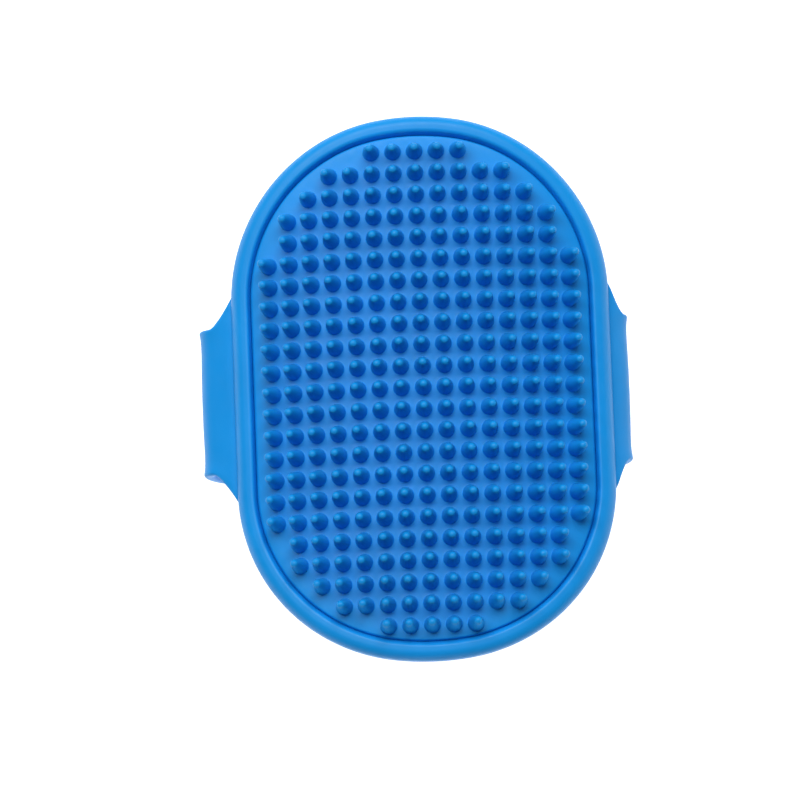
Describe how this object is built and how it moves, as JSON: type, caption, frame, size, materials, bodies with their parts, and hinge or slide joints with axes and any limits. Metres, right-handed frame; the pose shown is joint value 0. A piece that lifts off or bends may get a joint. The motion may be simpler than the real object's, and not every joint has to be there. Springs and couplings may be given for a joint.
{
  "type": "rubber curry brush",
  "caption": "Oval rubber grooming brush with a bowed pad of blunt conical pins, a raised rim and a two-part adjustable hand loop behind it.",
  "frame": {"origin": "bottom centre of the whole object's box: under the body, on the face that the hand loop's crest rests on", "axes": "+Z the way the pins point, +Y along the oval, +X across it, from the half with the holes to the half with the studs"},
  "size_m": [0.097, 0.123, 0.0459],
  "materials": {
    "rubber_pad": "satin moulded rubber",
    "rubber_rim": "satin moulded rubber",
    "rubber_strap": "satin moulded rubber",
    "rubber_stud": "satin moulded rubber"
  },
  "bodies": {
    "brush": {"rim_body": "rubber_rim", "pin_pad": "rubber_pad"},
    "left_half": {"hole_strap": "rubber_strap"},
    "right_half": {"stud_strap": "rubber_strap", "closure_studs": "rubber_stud"}
  },
  "joints": [
    {"name": "left_strap_hinge", "type": "hinge", "parent": "brush", "child": "left_half", "pos_m": [-0.04095, 0, 0.0285], "axis": [0, 1, 0], "range_deg": [0, 50]},
    {"name": "right_strap_hinge", "type": "hinge", "parent": "brush", "child": "right_half", "pos_m": [0.04435, 0, 0.0285], "axis": [0, -1, 0], "range_deg": [0, 40]}
  ],
  "couplings": [
    {"joint": "right_strap_hinge", "follows": "left_strap_hinge", "ratio": 0.8}
  ]
}
